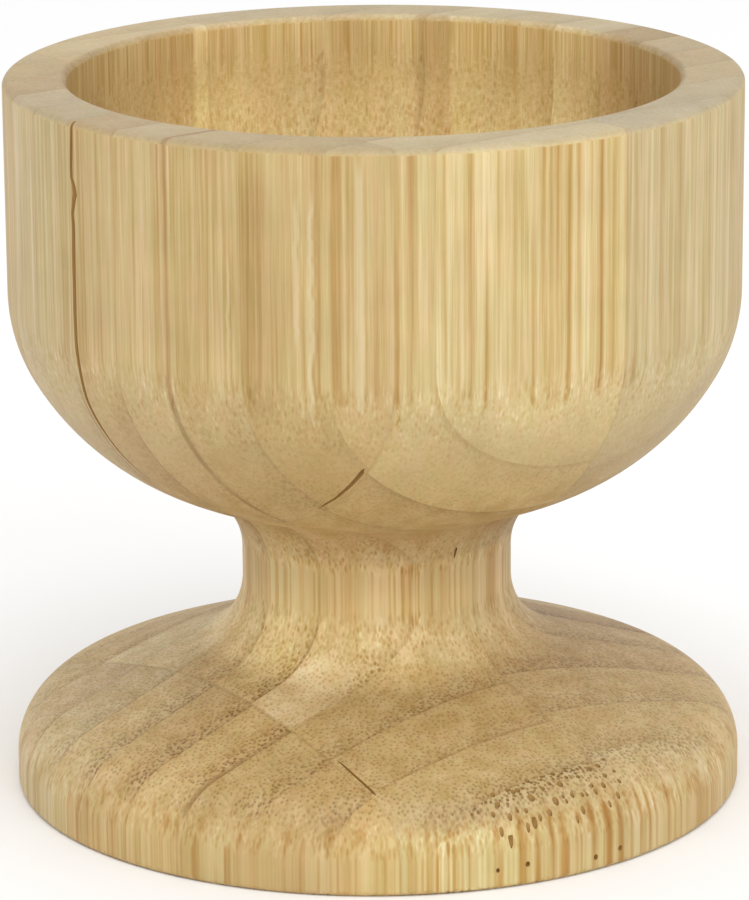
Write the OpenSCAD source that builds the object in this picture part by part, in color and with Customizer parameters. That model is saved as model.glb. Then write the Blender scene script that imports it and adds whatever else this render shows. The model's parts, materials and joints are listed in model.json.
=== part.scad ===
// Bamboo egg cup, turned as one form from a block of glued bamboo laths.
// The block is three boards side by side, each a stack of laths glued face to face.
// Turning the stem cuts every outer lath into a bowl piece and a foot piece, and the
// laths in the middle run unbroken from the bowl through the stem into the foot.
// Millimetres, +Z up, origin at the centre of the foot's underside, viewer on -Y.

/* [Bowl] */
// Outer diameter of the rim
rim_d = 50; // [47:0.5:54]
// Thickness of the bowl's wall at the rim
rim_wall = 4.3; // [2:0.1:6]
// Straight depth of the mouth before its floor rounds in
mouth_h = 4; // [2:0.5:6]
// Height of the bowl's straight outer wall, up to the rim
wall_h = 14.6; // [10:0.2:18]
// Radius of the bend below the straight wall
shoulder_r = 11.2; // [9:0.2:13]
// Angle of that bend, in degrees
shoulder_sweep = 29.5; // [20:0.5:40]
// Radius of the bowl's underside
belly_r = 18.1; // [16:0.1:22]
// Rounding of the rim's two edges
rim_round = 0.5; // [0.2:0.1:1]

/* [Stem] */
// Diameter of the stem at its narrowest
stem_d = 18.6; // [15:0.2:22]
// Straight length of the stem between its two fillets
stem_h = 2; // [0.6:0.1:20]
// Radius of the fillet between the stem and the bowl
neck_fillet_r = 4.7; // [3:0.1:6]
// Radius of the fillet between the stem and the foot
foot_fillet_r = 5.2; // [3:0.1:7]

/* [Foot] */
// Diameter of the foot
foot_d = 50.3; // [47:0.1:54]
// Height of the foot's upright edge
foot_edge_h = 2.1; // [1.5:0.1:5]
// Radius of the foot's upper edge
foot_edge_r = 4.35; // [3:0.05:6]
// Slope of the foot's upper side, in degrees
foot_slope = 20; // [12:0.5:28]
// Rounding of the foot's lower edge
foot_round = 0.4; // [0.2:0.1:1]

/* [Laths] */
// Thickness of a bamboo lath
lath_t = 4.38; // [4.2:0.01:6]
// Width of the laths in the middle board
board_w = 15.25; // [13:0.05:19]
// Distance from the cup's axis to the joint of the left and middle boards
left_joint_x = 14.15; // [12:0.05:16]
// Turn of the whole block about the cup's axis, in degrees
block_turn = 37.5; // [0:0.5:90]
// Thinnest lath that may be left at the end of a board
end_lath_min = 2; // [1:0.1:3]

/* [Hidden] */
$fn = 128;
// Angle between neighbouring points on the large arcs and on the small rounded edges
arc_step = 7.5;
edge_step = 30;
// Overrun of the lath blanks past the turned form
overrun = 1;
// How far each board's glue lines are shifted, in shares of a lath's thickness
row_shift_shares = [-0.07, -0.01, 0.17];
BOARDS = ["left", "middle", "right"];
// Tone of each lath, counted outwards from the axis: pale, mid or dark
FRONT_TONES = ["dmmmm", "mpmdmp", "dmdmmp"];
BACK_TONES = ["ppdmp", "ddpmpm", "pmpmmp"];

rim_r = rim_d / 2;
mouth_r = rim_r - rim_wall;
stem_r = stem_d / 2;
foot_r = foot_d / 2;
block_r = max(rim_r, foot_r) + overrun;

// Centres of the arcs of the turned outline, as [radius, height]
foot_edge_c = [foot_r - foot_edge_r, foot_edge_h];
slope_start = foot_edge_c + foot_edge_r * heading(90 - foot_slope);
foot_fillet_x = stem_r + foot_fillet_r;
foot_fillet_z = slope_start[1]
    + (foot_fillet_r + (slope_start[0] - foot_fillet_x) * sin(foot_slope)) / cos(foot_slope);
foot_fillet_c = [foot_fillet_x, foot_fillet_z];
neck_fillet_c = [stem_r + neck_fillet_r, foot_fillet_z + stem_h];
belly_x = rim_r - shoulder_r - (belly_r - shoulder_r) * cos(shoulder_sweep);
neck_sweep = acos((neck_fillet_c[0] - belly_x) / (belly_r + neck_fillet_r));
belly_c = neck_fillet_c + (belly_r + neck_fillet_r) * heading(180 - neck_sweep);
shoulder_c = belly_c + (belly_r - shoulder_r) * heading(-shoulder_sweep);

cup_h = shoulder_c[1] + wall_h;
mouth_z = cup_h - mouth_h;
// Height in the straight of the stem that tells bowl pieces from foot pieces
parting_z = foot_fillet_z + stem_h / 2;

BAMBOO_PALE = [0.87, 0.79, 0.60];
BAMBOO_MID = [0.82, 0.69, 0.46];
BAMBOO_DARK = [0.74, 0.60, 0.38];

// Limits of the boards across the block, and the least distance of each from the axis
board_lo = [-block_r, -left_joint_x, board_w - left_joint_x];
board_hi = [-left_joint_x, board_w - left_joint_x, block_r];

function heading(angle) = [cos(angle), sin(angle)];
function nearest(lo, hi) = max(lo, -hi, 0);
function board_near(b) = nearest(board_lo[b], board_hi[b]);

// A glue line's place behind the axis, where line 0 is the one that passes by the axis
function line_y(b, k) = (k + row_shift_shares[b]) * lath_t;

// The bowl and the foot have each glue line that leaves a lath thick enough at their edge
function part_r(part) = part == "foot" ? foot_r : rim_r;
function reach(part, b) = sqrt(pow(part_r(part), 2) - pow(board_near(b), 2)) - end_lath_min;
function first_line(part, b) = ceil(-reach(part, b) / lath_t - row_shift_shares[b]);
function last_line(part, b) = floor(reach(part, b) / lath_t - row_shift_shares[b]);

// Lath k lies between glue lines k and k + 1, or runs on to the edge of its part
function laths(part, b) = [first_line(part, b) - 1:last_line(part, b)];
function lath_lo(part, b, k) = k < first_line(part, b) ? -block_r : line_y(b, k);
function lath_hi(part, b, k) = k == last_line(part, b) ? block_r : line_y(b, k + 1);

// A lath that reaches into the stem stays whole, and any other is cut in two
function in_stem(b, k) = norm([board_near(b), nearest(line_y(b, k), line_y(b, k + 1))]) < stem_r;
function cores(b) = [for (k = laths("bowl", b)) if (in_stem(b, k)) k];
function ends(part, b) = [for (k = laths(part, b)) if (!in_stem(b, k)) k];

// Laths are named by their board, and counted from the axis to the front and to the back
function side(k) = k < 0 ? "front" : "back";
function count(k) = k < 0 ? -k : k + 1;
function piece_name(piece, b, k) = str(piece, "_", BOARDS[b], "_", side(k), "_lath_", count(k));
function tones(b, k) = k < 0 ? FRONT_TONES[b] : BACK_TONES[b];
function tone_letter(b, k) = tones(b, k)[(count(k) - 1) % len(tones(b, k))];
function tone(b, k) = tone_letter(b, k) == "p" ? BAMBOO_PALE
    : tone_letter(b, k) == "d" ? BAMBOO_DARK : BAMBOO_MID;

ALL_BOARDS = [0:len(BOARDS) - 1];

// Points along an arc, the last "skip" of them left out
function arc(centre, r, from, to, step, skip = 0) =
    let (steps = ceil(abs(to - from) / step))
    [for (i = [0:steps - skip]) centre + r * heading(from + (to - from) * i / steps)];

// Half of the cup's section, with the mouth only sunk as far as its walls are straight
module outline() {
    polygon(concat(
        [[0, 0]],
        arc([foot_r - foot_round, foot_round], foot_round, -90, 0, edge_step),
        arc(foot_edge_c, foot_edge_r, 0, 90 - foot_slope, arc_step),
        arc(foot_fillet_c, foot_fillet_r, 270 - foot_slope, 180, arc_step),
        arc(neck_fillet_c, neck_fillet_r, 180, 180 - neck_sweep, arc_step),
        arc(belly_c, belly_r, -neck_sweep, -shoulder_sweep, arc_step, skip = 1),
        arc(shoulder_c, shoulder_r, -shoulder_sweep, 0, arc_step),
        arc([rim_r - rim_round, cup_h - rim_round], rim_round, 0, 90, edge_step),
        arc([mouth_r + rim_round, cup_h - rim_round], rim_round, 90, 180, edge_step),
        [[mouth_r, mouth_z], [0, mouth_z]]
    ));
}

// The finished form that the lathe leaves, with a half-round hollow for the egg
module turned_form() {
    rotate_extrude() difference() {
        outline();
        translate([0, mouth_z]) circle(mouth_r);
    }
}

// One lath of the block before turning, between two heights
module lath_blank(part, b, k, low, high) {
    rotate([0, 0, block_turn])
        translate([board_lo[b], lath_lo(part, b, k), low])
            cube([board_hi[b] - board_lo[b], lath_hi(part, b, k) - lath_lo(part, b, k), high - low]);
}

module core_lath(b, k) {
    color(tone(b, k)) intersection() {
        turned_form();
        lath_blank("bowl", b, k, -overrun, cup_h + overrun);
    }
}

module bowl_lath(b, k) {
    color(tone(b, k)) intersection() {
        turned_form();
        lath_blank("bowl", b, k, parting_z, cup_h + overrun);
    }
}

module foot_lath(b, k) {
    color(tone(b, k)) intersection() {
        turned_form();
        lath_blank("foot", b, k, -overrun, parting_z);
    }
}

for (b = ALL_BOARDS) {
    for (k = cores(b)) core_lath(b, k);
    for (k = ends("bowl", b)) bowl_lath(b, k);
    for (k = ends("foot", b)) foot_lath(b, k);
}
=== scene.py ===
"""Bamboo egg cup: the grain, glue lines and cracks of each lath, and a studio to see them in.

The cup is turned from one block of glued bamboo laths. Each lath is cut again here out of
the turned form, finer than the carried-over solid, and stands in the same place. The wood
is one solid pattern that follows the block, so that a bundle of fibres is a dot on the
foot, a streak on the bowl's wall and a dot again on the rim.
"""

import json
import math
from collections import namedtuple

import bmesh
import bpy
from mathutils import Matrix, Vector


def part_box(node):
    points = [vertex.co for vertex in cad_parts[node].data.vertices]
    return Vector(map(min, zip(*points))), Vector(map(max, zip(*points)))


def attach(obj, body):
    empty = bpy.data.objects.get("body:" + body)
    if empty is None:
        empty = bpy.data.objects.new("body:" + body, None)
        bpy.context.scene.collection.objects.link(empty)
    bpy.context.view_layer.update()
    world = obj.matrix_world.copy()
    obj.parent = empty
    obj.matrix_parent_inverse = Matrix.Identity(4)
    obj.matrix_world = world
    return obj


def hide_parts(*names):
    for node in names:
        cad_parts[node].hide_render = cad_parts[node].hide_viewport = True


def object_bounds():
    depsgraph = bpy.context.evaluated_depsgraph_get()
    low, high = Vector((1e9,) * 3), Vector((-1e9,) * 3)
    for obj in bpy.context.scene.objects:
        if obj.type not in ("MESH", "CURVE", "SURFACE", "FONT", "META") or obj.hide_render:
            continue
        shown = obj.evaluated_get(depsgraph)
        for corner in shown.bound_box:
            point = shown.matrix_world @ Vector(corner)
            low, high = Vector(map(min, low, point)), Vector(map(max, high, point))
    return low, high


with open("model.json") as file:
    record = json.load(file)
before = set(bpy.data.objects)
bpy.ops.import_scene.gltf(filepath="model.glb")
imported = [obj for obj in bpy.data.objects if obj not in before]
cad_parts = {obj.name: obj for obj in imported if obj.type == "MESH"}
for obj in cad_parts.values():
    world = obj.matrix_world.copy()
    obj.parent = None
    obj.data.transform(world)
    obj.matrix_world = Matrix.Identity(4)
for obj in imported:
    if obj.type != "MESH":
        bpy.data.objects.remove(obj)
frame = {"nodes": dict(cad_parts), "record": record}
CAD_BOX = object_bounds()

bl_info = {
    "name": "Bamboo Egg Cup",
    "version": (1, 0, 0),
    "blender": (4, 5, 0),
    "location": "View3D > Sidebar > Egg Cup",
    "description": "Builds a turned egg cup of laminated bamboo and a studio around it",
    "category": "Add Mesh",
}

MM = 0.001
CUP_TOP = CAD_BOX[1][2]
BODY = "root"
BOARDS = ("left", "middle", "right")


def length(name, description, default_mm):
    """A size in millimetres, held in metres."""
    return bpy.props.FloatProperty(name=name, description=description, default=default_mm * MM,
                                   min=0.0, precision=5, unit="LENGTH", subtype="DISTANCE")


def angle(name, description, default_degrees):
    return bpy.props.FloatProperty(name=name, description=description, unit="ROTATION",
                                   default=math.radians(default_degrees), subtype="ANGLE")


def colour(name, description, default):
    return bpy.props.FloatVectorProperty(name=name, description=description, default=default,
                                         size=3, min=0.0, max=1.0, subtype="COLOR")


def share(name, description, default):
    return bpy.props.FloatProperty(name=name, description=description, default=default,
                                   min=0.0, max=1.0, subtype="FACTOR")


class CupSizes(bpy.types.PropertyGroup):
    """The turned outline and the block of laths that it is turned from."""

    rim_diameter: length("Rim", "Outer diameter of the rim", 50.0)
    rim_wall: length("Rim wall", "Thickness of the bowl's wall at the rim", 4.3)
    mouth_depth: length("Mouth", "Straight depth of the mouth before its floor rounds in", 4.0)
    wall_height: length("Wall", "Height of the bowl's straight outer wall", 14.6)
    shoulder_radius: length("Shoulder", "Radius of the bend below the straight wall", 11.2)
    shoulder_sweep: angle("Shoulder sweep", "Angle of that bend", 29.5)
    belly_radius: length("Belly", "Radius of the bowl's underside", 18.1)
    rim_rounding: length("Rim rounding", "Rounding of the rim's two edges", 0.5)
    stem_diameter: length("Stem", "Diameter of the stem at its narrowest", 18.6)
    stem_length: length("Stem length", "Straight length of the stem", 2.0)
    neck_fillet: length("Neck fillet", "Radius of the fillet under the bowl", 4.7)
    foot_fillet: length("Foot fillet", "Radius of the fillet above the foot", 5.2)
    foot_diameter: length("Foot", "Diameter of the foot", 50.3)
    foot_edge_height: length("Foot edge", "Height of the foot's upright edge", 2.1)
    foot_edge_radius: length("Foot upper edge", "Radius of the foot's upper edge", 4.35)
    foot_slope: angle("Foot slope", "Slope of the foot's upper side", 20.0)
    foot_rounding: length("Foot rounding", "Rounding of the foot's lower edge", 0.4)
    lath_thickness: length("Lath thickness", "Thickness of a bamboo lath", 4.38)
    board_width: length("Board width", "Width of the laths in the middle board", 15.25)
    left_joint: length("Left joint", "From the axis to the joint of the left and middle boards", 14.15)
    block_turn: angle("Block turn", "Turn of the block of laths about the axis", 37.5)
    round_steps: bpy.props.IntProperty(name="Round steps", description="Faces round the cup",
                                       default=224, min=48, max=512)
    arc_step: angle("Arc step", "Angle between neighbouring points of the outline's arcs", 2.5)


class BambooFinish(bpy.types.PropertyGroup):
    """Colours and surface of the wood."""

    pale: colour("Pale lath", "Wood of the palest laths", (0.575, 0.440, 0.210))
    mid: colour("Middling lath", "Wood of most laths", (0.540, 0.402, 0.185))
    dark: colour("Dark lath", "Wood of the brownest laths", (0.525, 0.383, 0.172))
    fibre: colour("Fibre bundles", "What the bundles leave of the wood's colour", (0.38, 0.28, 0.15))
    golden: colour("Golden streaks", "What these leave of the wood's colour", (0.76, 0.58, 0.30))
    pinkish: colour("Pinkish streaks", "What these leave of the wood's colour", (0.68, 0.52, 0.42))
    split: colour("Pale splits", "Torn and bleached wood", (0.66, 0.54, 0.32))
    glue: colour("Glue", "Glue lines", (0.29, 0.165, 0.05))
    opening: colour("Openings", "Walls of the cracks and of the open pores", (0.36, 0.205, 0.055))
    roughness: share("Roughness", "Roughness of the waxed surface", 0.55)
    relief: length("Relief", "Depth of the fine relief of the grain", 0.04)


class StudioSetup(bpy.types.PropertyGroup):
    """The floor, the lights and the camera."""

    floor_size: length("Floor", "Side of the square floor", 4000.0)
    camera_distance: length("Camera distance", "From the camera to its aim", 325.55)
    camera_elevation: angle("Camera elevation", "Height of the camera over the horizon", 15.867)
    camera_roll: angle("Camera roll", "Roll of the camera to the right", 0.404)
    camera_aim: bpy.props.FloatVectorProperty(name="Camera aim", size=3, precision=5, unit="LENGTH",
                                              description="Point that the camera looks at",
                                              default=(-0.0001, 0.0, 0.023166), subtype="TRANSLATION")
    focal_length: bpy.props.FloatProperty(name="Focal length", description="Focal length in millimetres",
                                          default=188.92, min=10.0, subtype="DISTANCE_CAMERA")
    sky: bpy.props.FloatProperty(name="Sky", description="Strength of the even light from all round",
                                 default=0.9, min=0.0)
    key_watts: bpy.props.FloatProperty(name="Key light", description="Power of the large soft light in front",
                                       default=0.9, min=0.0, unit="POWER")
    top_watts: bpy.props.FloatProperty(name="Top light", description="Power of the soft light overhead",
                                       default=1.3, min=0.0, unit="POWER")


# The outline of the turned form

def heading(turn):
    return Vector((math.cos(turn), math.sin(turn)))


def arc(centre, radius, start, end, step):
    """Points along an arc from one angle to another, both ends included."""
    steps = max(1, math.ceil(abs(end - start) / step - 1e-6))
    return [centre + radius * heading(start + (end - start) * i / steps) for i in range(steps + 1)]


def cup_outline(cup):
    """Half of the cup's section as points (radius, height), from the foot's centre to the mouth's."""
    turn = math.radians
    rim_r, stem_r, foot_r = cup.rim_diameter / 2, cup.stem_diameter / 2, cup.foot_diameter / 2
    mouth_r = rim_r - cup.rim_wall
    slope, sweep = cup.foot_slope, cup.shoulder_sweep
    foot_edge = Vector((foot_r - cup.foot_edge_radius, cup.foot_edge_height))
    slope_start = foot_edge + cup.foot_edge_radius * heading(turn(90) - slope)
    fillet_x = stem_r + cup.foot_fillet
    rise = (cup.foot_fillet + (slope_start.x - fillet_x) * math.sin(slope)) / math.cos(slope)
    fillet_z = slope_start.y + rise
    foot_fillet = Vector((fillet_x, fillet_z))
    neck_fillet = Vector((stem_r + cup.neck_fillet, fillet_z + cup.stem_length))
    belly_x = rim_r - cup.shoulder_radius - (cup.belly_radius - cup.shoulder_radius) * math.cos(sweep)
    neck_sweep = math.acos((neck_fillet.x - belly_x) / (cup.belly_radius + cup.neck_fillet))
    belly = neck_fillet + (cup.belly_radius + cup.neck_fillet) * heading(turn(180) - neck_sweep)
    shoulder = belly + (cup.belly_radius - cup.shoulder_radius) * heading(-sweep)
    top = shoulder.y + cup.wall_height
    mouth = Vector((0.0, top - cup.mouth_depth))
    rounding, step = cup.rim_rounding, cup.arc_step
    fine = 4 * step
    wall_steps = 12
    points = [Vector((0.0, 0.0))]
    points += arc(Vector((foot_r - cup.foot_rounding, cup.foot_rounding)), cup.foot_rounding,
                  turn(-90), 0.0, fine)
    points += arc(foot_edge, cup.foot_edge_radius, 0.0, turn(90) - slope, step)
    slope_end = foot_fillet + cup.foot_fillet * heading(turn(270) - slope)
    points += [points[-1].lerp(slope_end, i / wall_steps) for i in range(1, wall_steps)]
    points += arc(foot_fillet, cup.foot_fillet, turn(270) - slope, turn(180), step)
    points += arc(neck_fillet, cup.neck_fillet, turn(180), turn(180) - neck_sweep, step)
    points += arc(belly, cup.belly_radius, -neck_sweep, -sweep, step)[1:-1]
    points += arc(shoulder, cup.shoulder_radius, -sweep, 0.0, step)
    rim_start = Vector((rim_r, top - rounding))
    points += [points[-1].lerp(rim_start, i / wall_steps) for i in range(1, wall_steps)]
    points += arc(Vector((rim_r - rounding, top - rounding)), rounding, 0.0, turn(90), fine)
    points += arc(Vector((mouth_r + rounding, top - rounding)), rounding, turn(90), turn(180), fine)
    points += arc(mouth, mouth_r, 0.0, turn(-90), step)
    return points


def turned_form(cup):
    """The finished form of the whole cup as one closed mesh."""
    outline = cup_outline(cup)
    mesh = bpy.data.meshes.new("turned_form")
    bm = bmesh.new()
    poles = [bm.verts.new((0.0, 0.0, outline[0].y)), bm.verts.new((0.0, 0.0, outline[-1].y))]
    rings = []
    for point in outline[1:-1]:
        turns = [2 * math.pi * i / cup.round_steps for i in range(cup.round_steps)]
        rings.append([bm.verts.new((point.x * math.cos(t), point.x * math.sin(t), point.y))
                      for t in turns])
    for i in range(cup.round_steps):
        j = (i + 1) % cup.round_steps
        bm.faces.new((poles[0], rings[0][j], rings[0][i]))
        for lower, upper in zip(rings, rings[1:]):
            bm.faces.new((lower[i], lower[j], upper[j], upper[i]))
        bm.faces.new((rings[-1][i], rings[-1][j], poles[1]))
    bmesh.ops.remove_doubles(bm, verts=bm.verts, dist=1e-7)
    bmesh.ops.recalc_face_normals(bm, faces=bm.faces)
    bm.to_mesh(mesh)
    bm.free()
    return mesh


# The block of laths

# How far each board's glue lines are shifted, in shares of a lath's thickness
ROW_SHIFT_SHARES = {"left": -0.07, "middle": -0.01, "right": 0.17}

Lath = namedtuple("Lath", "node piece board row")


def read_lath(node):
    """Piece, board and row of a lath, from its node's name; row 0 is the first behind the axis."""
    piece, board, side, _, number = node.split("_")
    return Lath(node, piece, board, int(number) - 1 if side == "back" else -int(number))


def all_laths():
    return [read_lath(node) for node in sorted(frame["nodes"])]


def line_place(cup, board, row):
    return (row + ROW_SHIFT_SHARES[board]) * cup.lath_thickness


def lath_corners(cup, lath, laths):
    """The lowest and highest corners of a lath's blank, in the block's own directions."""
    reach = max(cup.rim_diameter, cup.foot_diameter) / 2 + MM
    joints = {"left": (-reach, -cup.left_joint),
              "middle": (-cup.left_joint, cup.board_width - cup.left_joint),
              "right": (cup.board_width - cup.left_joint, reach)}
    part = "foot" if lath.piece == "foot" else "bowl"
    in_part = [l.row for l in laths if l.board == lath.board and l.piece in ("core", part)]
    front = -reach if lath.row == min(in_part) else line_place(cup, lath.board, lath.row)
    back = reach if lath.row == max(in_part) else line_place(cup, lath.board, lath.row + 1)
    low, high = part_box(lath.node)
    margin = MM
    parting = cup_parting(cup)
    bottom = parting if lath.piece == "bowl" else low.z - margin
    top = parting if lath.piece == "foot" else high.z + margin
    left, right = joints[lath.board]
    return Vector((left, front, bottom)), Vector((right, back, top))


def cup_parting(cup):
    """The height in the straight of the stem that tells bowl pieces from foot pieces."""
    slope, edge = cup.foot_slope, cup.foot_edge_radius
    slope_start_x = cup.foot_diameter / 2 - edge + edge * math.sin(slope)
    slope_start_z = cup.foot_edge_height + edge * math.cos(slope)
    fillet_x = cup.stem_diameter / 2 + cup.foot_fillet
    rise = (cup.foot_fillet + (slope_start_x - fillet_x) * math.sin(slope)) / math.cos(slope)
    return slope_start_z + rise + cup.stem_length / 2


# How single laths look: shares of the slot's colour, strength of the fibre bundles, and
# darkness of the glue line on the lath's front side; what this has above 1 widens the line.
# A key is a board and a row, and begins with the piece where only that piece of it looks so.

Look = namedtuple("Look", "tint bundles line")
PLAIN = Look((1.0, 1.0, 1.0), 0.5, 0.2)
LOOKS = {
    "bowl_left_-5": Look((1.00, 0.98, 0.95), 0.50, 0.05),
    "bowl_left_-4": Look((0.95, 0.92, 0.84), 0.50, 0.05),
    "bowl_left_-2": Look((1.01, 1.01, 1.04), 0.50, 1.0),
    "bowl_left_-1": Look((0.98, 0.97, 0.98), 0.60, 0.4),
    "bowl_middle_-6": Look((1.07, 1.09, 1.10), 0.15, 0.1),
    "bowl_middle_-5": Look((1.08, 1.11, 1.12), 0.30, 0.3),
    "bowl_right_-6": Look((0.93, 0.96, 1.04), 0.15, 0.05),
    "bowl_right_-5": Look((0.96, 0.99, 1.06), 0.20, 0.1),
    "foot_left_-5": Look((1.03, 0.99, 0.88), 0.60, 0.1),
    "foot_left_-4": Look((0.98, 0.94, 0.88), 0.55, 0.2),
    "foot_left_-3": Look((0.98, 0.96, 0.90), 0.60, 0.2),
    "foot_left_-2": Look((1.08, 1.07, 1.04), 0.60, 1.6),
    "foot_left_-1": Look((1.05, 1.05, 1.05), 0.45, 0.6),
    "foot_left_0": Look((0.99, 0.99, 1.02), 0.65, 0.5),
    "foot_left_1": Look((0.96, 1.00, 1.12), 0.40, 0.4),
    "foot_left_2": Look((1.05, 1.10, 1.33), 0.30, 0.4),
    "foot_left_3": Look((1.03, 1.07, 1.14), 0.40, 0.2),
    "foot_middle_-6": Look((0.99, 0.99, 0.98), 0.90, 0.1),
    "foot_middle_-5": Look((1.00, 1.00, 0.98), 0.45, 0.4),
    "foot_middle_-4": Look((1.05, 1.05, 1.03), 0.35, 0.5),
    "foot_right_-6": Look((0.99, 1.00, 1.05), 0.60, 0.1),
    "foot_right_-5": Look((1.00, 1.00, 1.00), 0.40, 0.2),
    "left_0": Look((0.92, 0.94, 1.00), 0.45, 0.3),
    "left_1": Look((0.93, 0.95, 1.05), 0.30, 0.2),
    "left_2": Look((0.98, 0.98, 1.02), 0.45, 0.2),
    "left_-3": Look((0.97, 0.96, 0.93), 0.75, 0.3),
    "middle_-4": Look((1.00, 1.00, 1.00), 0.35, 0.5),
    "middle_-3": Look((1.04, 1.03, 1.02), 0.55, 0.5),
    "middle_-2": Look((1.06, 1.02, 0.99), 0.90, 0.3),
    "middle_-1": Look((1.10, 1.11, 1.08), 0.80, 0.5),
    "middle_0": Look((1.05, 1.06, 1.08), 0.60, 0.2),
    "middle_1": Look((1.06, 1.08, 1.12), 0.50, 0.2),
    "middle_3": Look((1.08, 1.07, 1.03), 0.60, 0.2),
    "middle_4": Look((1.06, 1.04, 1.00), 0.60, 0.2),
    "middle_5": Look((1.12, 1.10, 1.06), 0.60, 0.2),
    "right_-4": Look((1.00, 0.99, 1.00), 0.45, 0.2),
    "right_-3": Look((1.00, 0.98, 1.00), 0.55, 0.25),
    "right_-2": Look((0.96, 0.94, 0.95), 0.60, 0.2),
    "right_-1": Look((0.86, 0.80, 0.74), 0.80, 0.2),
}

# Dark lines that run a little behind their glue line, in millimetres
LINE_SHIFTS = {"bowl_left_-2": 0.40}

# Laths that lie the other way round in the block, with their dark and close fibres at the back
FLIPPED = {"middle_-6", "right_-6"}


def look_of(lath):
    row = f"{lath.board}_{lath.row}"
    return LOOKS.get(f"{lath.piece}_{row}") or LOOKS.get(row, PLAIN)


# Blemishes of single laths, each fading out from its middle: shares of the colour, strength of
# the bundles and darkness of the glue line there. Places are in millimetres in the block's
# directions, along the laths, across them and up.

Blemish = namedtuple("Blemish", "lath middle reach tint bundles line")
BLEMISHES = (
    Blemish("middle_1", (-11.5, 8.0, 8.5), (7.0, 5.0, 5.0), (1.14, 1.23, 1.42), 0.1, 0.1),
    Blemish("middle_2", (-11.5, 10.0, 8.5), (7.0, 5.0, 5.0), (1.13, 1.22, 1.40), 0.1, 0.1),
    Blemish("middle_-2", (-11.6, -6.6, 9.0), (4.4, 3.0, 4.4), (1.18, 1.28, 1.55), 0.02, 0.1),
    Blemish("left_-4", (-20.6, -14.4, 39.5), (3.0, 1.9, 9.5), (0.88, 0.83, 0.75), 0.5, 0.1),
    Blemish("left_0", (-20.0, -0.4, 27.0), (7.5, 2.0, 6.0), (0.97, 0.95, 0.95), 0.5, 0.9),
    Blemish("left_-1", (-20.0, -3.4, 8.0), (6.5, 2.4, 5.0), (0.98, 0.96, 0.94), 0.8, 0.3),
    Blemish("left_-2", (-17.5, -9.0, 8.0), (5.0, 2.0, 4.0), (0.97, 0.93, 0.89), 0.8, 1.6),
    Blemish("middle_0", (-12.4, 0.6, 9.8), (3.0, 2.4, 2.2), (1.09, 1.09, 1.08), 0.6, 0.2),
    Blemish("middle_-1", (-11.2, -3.0, 10.2), (2.6, 2.4, 2.2), (1.07, 1.09, 1.10), 0.8, 0.5),
)


def blemished(look, lath, place_mm):
    """A lath's look at one place, with its blemishes."""
    for spot in BLEMISHES:
        if spot.lath != f"{lath.board}_{lath.row}":
            continue
        off = Vector((p - m) / r for p, m, r in zip(place_mm, spot.middle, spot.reach))
        near = min(max((1.15 - off.length) / 0.5, 0.0), 1.0)
        near = near * near * (3 - 2 * near)
        tint = tuple(a + (a * b - a) * near for a, b in zip(look.tint, spot.tint))
        look = Look(tint, look.bundles + (spot.bundles - look.bundles) * near,
                    look.line + (spot.line - look.line) * near)
    return look


# Small helper that wires nodes, for the trees of geometry and of materials

class Wiring:
    def __init__(self, tree):
        self.tree = tree

    def fill(self, socket, value):
        """Wires a socket, or sets it to a plain value."""
        if isinstance(value, bpy.types.NodeSocket):
            self.tree.links.new(value, socket)
        elif socket.type == "RGBA":
            socket.default_value = (*value[:3], 1.0)
        else:
            socket.default_value = value

    def node(self, kind, inputs=None, **settings):
        """A node of this kind, with its own settings and with its inputs wired or filled."""
        made = self.tree.nodes.new(kind)
        for key, value in settings.items():
            setattr(made, key, value)
        for key, value in (inputs or {}).items():
            self.fill(made.inputs[key], value)
        return made

    def math(self, operation, *values, clamp=False):
        return self.node("ShaderNodeMath", dict(enumerate(values)), operation=operation,
                         use_clamp=clamp).outputs[0]

    def product(self, first, *others):
        for value in others:
            first = self.math("MULTIPLY", first, value)
        return first

    def between(self, share, first, second):
        """The number that lies this share of the way from the first to the second."""
        return self.math("MULTIPLY_ADD", self.math("SUBTRACT", second, first), share, first)

    def ramp(self, value, low, high, to_low=0.0, to_high=1.0, smooth=True):
        """value eased from low..high to to_low..to_high, held at both ends."""
        kind = "SMOOTHSTEP" if smooth else "LINEAR"
        made = self.node("ShaderNodeMapRange", interpolation_type=kind, inputs={
            "Value": value, "From Min": low, "From Max": high, "To Min": to_low, "To Max": to_high})
        return made.outputs["Result"]

    def band(self, value, begin, full, last, end, strength=1.0):
        """The strength where value is between full and last, eased to 0 at begin and at end."""
        return self.math("MULTIPLY", self.ramp(value, begin, full, 0.0, strength),
                         self.ramp(value, last, end, 1.0, 0.0))

    def vector(self, operation, *values):
        made = self.node("ShaderNodeVectorMath", dict(enumerate(values)), operation=operation)
        wanted = "Value" if operation in ("LENGTH", "DISTANCE", "DOT_PRODUCT") else "Vector"
        return made.outputs[wanted]

    def combine(self, *values):
        return self.node("ShaderNodeCombineXYZ", dict(enumerate(values))).outputs[0]

    def split(self, vector):
        return self.node("ShaderNodeSeparateXYZ", {"Vector": vector}).outputs

    def noise(self, place, scale, detail=2.0, roughness=0.5, wanted="Fac"):
        made = self.node("ShaderNodeTexNoise", inputs={
            "Vector": place, "Scale": scale, "Detail": detail, "Roughness": roughness})
        return made.outputs[wanted]

    def attribute(self, name, wanted="Fac"):
        return self.node("ShaderNodeAttribute", attribute_name=name).outputs[wanted]

    def mix(self, share, first, second, blend="MIX"):
        made = self.node("ShaderNodeMix", data_type="RGBA", blend_type=blend, clamp_factor=True)
        for number, value in ((0, share), (6, first), (7, second)):
            self.fill(made.inputs[number], value)
        return made.outputs[2]

    def stained(self, share, colour_value, stain):
        """A colour of which the stain's shares of red, green and blue are left."""
        return self.mix(share, colour_value, stain, "MULTIPLY")


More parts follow.
